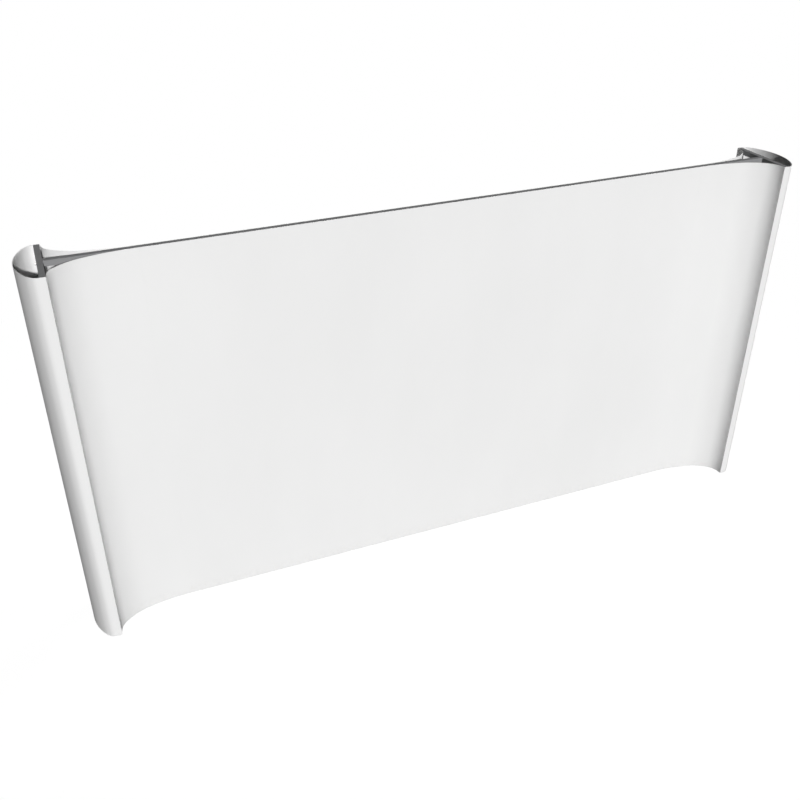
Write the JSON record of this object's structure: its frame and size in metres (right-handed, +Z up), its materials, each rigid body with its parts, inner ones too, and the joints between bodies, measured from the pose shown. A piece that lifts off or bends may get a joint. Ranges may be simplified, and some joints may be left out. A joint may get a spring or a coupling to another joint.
{
  "type": "exhibition backwall",
  "caption": "Free-standing double-sided exhibition backwall: square tube frame with bowed white panels and rounded open ends, on levelling feet.",
  "frame": {"origin": "on the floor, under the middle of the wall", "axes": "+X along the wall to the viewer's right, +Y to the rear, +Z up"},
  "size_m": [4.4966, 0.4294, 2.25],
  "materials": {
    "panel_film": "satin white laminated film",
    "frame_tube": "matt grey powder coat on aluminium tube",
    "spigot_metal": "mill finish aluminium",
    "plated_steel": "zinc plated steel",
    "spring_steel": "drawn spring wire",
    "magnetic_strip": "dull brown-black magnetic rubber",
    "black_plastic": "moulded black plastic",
    "foot_plastic": "moulded black nylon"
  },
  "bodies": {
    "frame": {"left_top_bar": "frame_tube", "left_bottom_bar": "frame_tube", "left_front_post": "frame_tube", "left_rear_post": "frame_tube", "right_top_bar": "frame_tube", "right_bottom_bar": "frame_tube", "right_front_post": "frame_tube", "right_rear_post": "frame_tube", "top_left_crossbar": "frame_tube", "top_left_spigot": "spigot_metal", "top_right_crossbar": "frame_tube", "top_right_spigot": "spigot_metal", "top_connector": "frame_tube", "bottom_left_crossbar": "frame_tube", "bottom_left_spigot": "spigot_metal", "bottom_right_crossbar": "frame_tube", "bottom_right_spigot": "spigot_metal", "bottom_connector": "frame_tube", "mast": "frame_tube", "spigot_bolts": "plated_steel", "foot_inserts": "plated_steel", "bar_end_plugs": "black_plastic", "crossbar_strips": "magnetic_strip", "post_strips": "magnetic_strip", "seam_strips": "magnetic_strip", "front_middle_panel": "panel_film", "front_left_bowed_panel": "panel_film", "front_right_bowed_panel": "panel_film", "rear_middle_panel": "panel_film", "rear_left_bowed_panel": "panel_film", "rear_right_bowed_panel": "panel_film", "left_end_panel": "panel_film", "right_end_panel": "panel_film", "top_left_outer_button_spring": "spring_steel", "top_left_inner_button_spring": "spring_steel", "top_right_outer_button_spring": "spring_steel", "top_right_inner_button_spring": "spring_steel", "bottom_left_outer_button_spring": "spring_steel", "bottom_left_inner_button_spring": "spring_steel", "bottom_right_outer_button_spring": "spring_steel", "bottom_right_inner_button_spring": "spring_steel"},
    "top_left_outer_button": {"top_left_outer_button": "plated_steel"},
    "top_left_inner_button": {"top_left_inner_button": "plated_steel"},
    "top_right_outer_button": {"top_right_outer_button": "plated_steel"},
    "top_right_inner_button": {"top_right_inner_button": "plated_steel"},
    "bottom_left_outer_button": {"bottom_left_outer_button": "plated_steel"},
    "bottom_left_inner_button": {"bottom_left_inner_button": "plated_steel"},
    "bottom_right_outer_button": {"bottom_right_outer_button": "plated_steel"},
    "bottom_right_inner_button": {"bottom_right_inner_button": "plated_steel"},
    "front_left_foot_pad": {"front_left_foot_pad": "foot_plastic"},
    "front_left_foot_screw": {"front_left_foot_screw": "plated_steel"},
    "rear_left_foot_pad": {"rear_left_foot_pad": "foot_plastic"},
    "rear_left_foot_screw": {"rear_left_foot_screw": "plated_steel"},
    "front_right_foot_pad": {"front_right_foot_pad": "foot_plastic"},
    "front_right_foot_screw": {"front_right_foot_screw": "plated_steel"},
    "rear_right_foot_pad": {"rear_right_foot_pad": "foot_plastic"},
    "rear_right_foot_screw": {"rear_right_foot_screw": "plated_steel"},
    "centre_foot_pad": {"centre_foot_pad": "foot_plastic"},
    "centre_foot_screw": {"centre_foot_screw": "plated_steel"}
  },
  "joints": [
    {"name": "top_left_outer_button_press", "type": "slide", "parent": "frame", "child": "top_left_outer_button", "axis": [0, 0, 1], "range_m": [0, 0.0042], "stiffness_N_per_m": 1500, "springref_m": -0.002, "deforming": ["top_left_outer_button_spring"]},
    {"name": "top_left_inner_button_press", "type": "slide", "parent": "frame", "child": "top_left_inner_button", "axis": [0, 0, 1], "range_m": [0, 0.0042], "stiffness_N_per_m": 1500, "springref_m": -0.002, "deforming": ["top_left_inner_button_spring"]},
    {"name": "top_right_outer_button_press", "type": "slide", "parent": "frame", "child": "top_right_outer_button", "axis": [0, 0, 1], "range_m": [0, 0.0042], "stiffness_N_per_m": 1500, "springref_m": -0.002, "deforming": ["top_right_outer_button_spring"]},
    {"name": "top_right_inner_button_press", "type": "slide", "parent": "frame", "child": "top_right_inner_button", "axis": [0, 0, 1], "range_m": [0, 0.0042], "stiffness_N_per_m": 1500, "springref_m": -0.002, "deforming": ["top_right_inner_button_spring"]},
    {"name": "bottom_left_outer_button_press", "type": "slide", "parent": "frame", "child": "bottom_left_outer_button", "axis": [0, 0, -1], "range_m": [0, 0.0042], "stiffness_N_per_m": 1500, "springref_m": -0.002, "deforming": ["bottom_left_outer_button_spring"]},
    {"name": "bottom_left_inner_button_press", "type": "slide", "parent": "frame", "child": "bottom_left_inner_button", "axis": [0, 0, -1], "range_m": [0, 0.0042], "stiffness_N_per_m": 1500, "springref_m": -0.002, "deforming": ["bottom_left_inner_button_spring"]},
    {"name": "bottom_right_outer_button_press", "type": "slide", "parent": "frame", "child": "bottom_right_outer_button", "axis": [0, 0, -1], "range_m": [0, 0.0042], "stiffness_N_per_m": 1500, "springref_m": -0.002, "deforming": ["bottom_right_outer_button_spring"]},
    {"name": "bottom_right_inner_button_press", "type": "slide", "parent": "frame", "child": "bottom_right_inner_button", "axis": [0, 0, -1], "range_m": [0, 0.0042], "stiffness_N_per_m": 1500, "springref_m": -0.002, "deforming": ["bottom_right_inner_button_spring"]},
    {"name": "front_left_foot_height", "type": "slide", "parent": "frame", "child": "front_left_foot_pad", "axis": [0, 0, -1], "range_m": [0, 0.012]},
    {"name": "front_left_foot_turn", "type": "hinge", "parent": "front_left_foot_pad", "child": "front_left_foot_screw", "pos_m": [-2.1275, -0.1905, 0], "axis": [0, 0, -1], "range_deg": [0, 3456]},
    {"name": "rear_left_foot_height", "type": "slide", "parent": "frame", "child": "rear_left_foot_pad", "axis": [0, 0, -1], "range_m": [0, 0.012]},
    {"name": "rear_left_foot_turn", "type": "hinge", "parent": "rear_left_foot_pad", "child": "rear_left_foot_screw", "pos_m": [-2.1275, 0.1905, 0], "axis": [0, 0, -1], "range_deg": [0, 3456]},
    {"name": "front_right_foot_height", "type": "slide", "parent": "frame", "child": "front_right_foot_pad", "axis": [0, 0, -1], "range_m": [0, 0.012]},
    {"name": "front_right_foot_turn", "type": "hinge", "parent": "front_right_foot_pad", "child": "front_right_foot_screw", "pos_m": [2.1275, -0.1905, 0], "axis": [0, 0, -1], "range_deg": [0, 3456]},
    {"name": "rear_right_foot_height", "type": "slide", "parent": "frame", "child": "rear_right_foot_pad", "axis": [0, 0, -1], "range_m": [0, 0.012]},
    {"name": "rear_right_foot_turn", "type": "hinge", "parent": "rear_right_foot_pad", "child": "rear_right_foot_screw", "pos_m": [2.1275, 0.1905, 0], "axis": [0, 0, -1], "range_deg": [0, 3456]},
    {"name": "centre_foot_height", "type": "slide", "parent": "frame", "child": "centre_foot_pad", "axis": [0, 0, -1], "range_m": [0, 0.012]},
    {"name": "centre_foot_turn", "type": "hinge", "parent": "centre_foot_pad", "child": "centre_foot_screw", "pos_m": [0, 0, 0], "axis": [0, 0, -1], "range_deg": [0, 3456]}
  ],
  "couplings": [
    {"joint": "front_left_foot_turn", "follows": "front_left_foot_height", "rad_per_m": 5026.5},
    {"joint": "rear_left_foot_turn", "follows": "rear_left_foot_height", "rad_per_m": 5026.5},
    {"joint": "front_right_foot_turn", "follows": "front_right_foot_height", "rad_per_m": 5026.5},
    {"joint": "rear_right_foot_turn", "follows": "rear_right_foot_height", "rad_per_m": 5026.5},
    {"joint": "centre_foot_turn", "follows": "centre_foot_height", "rad_per_m": 5026.5}
  ]
}
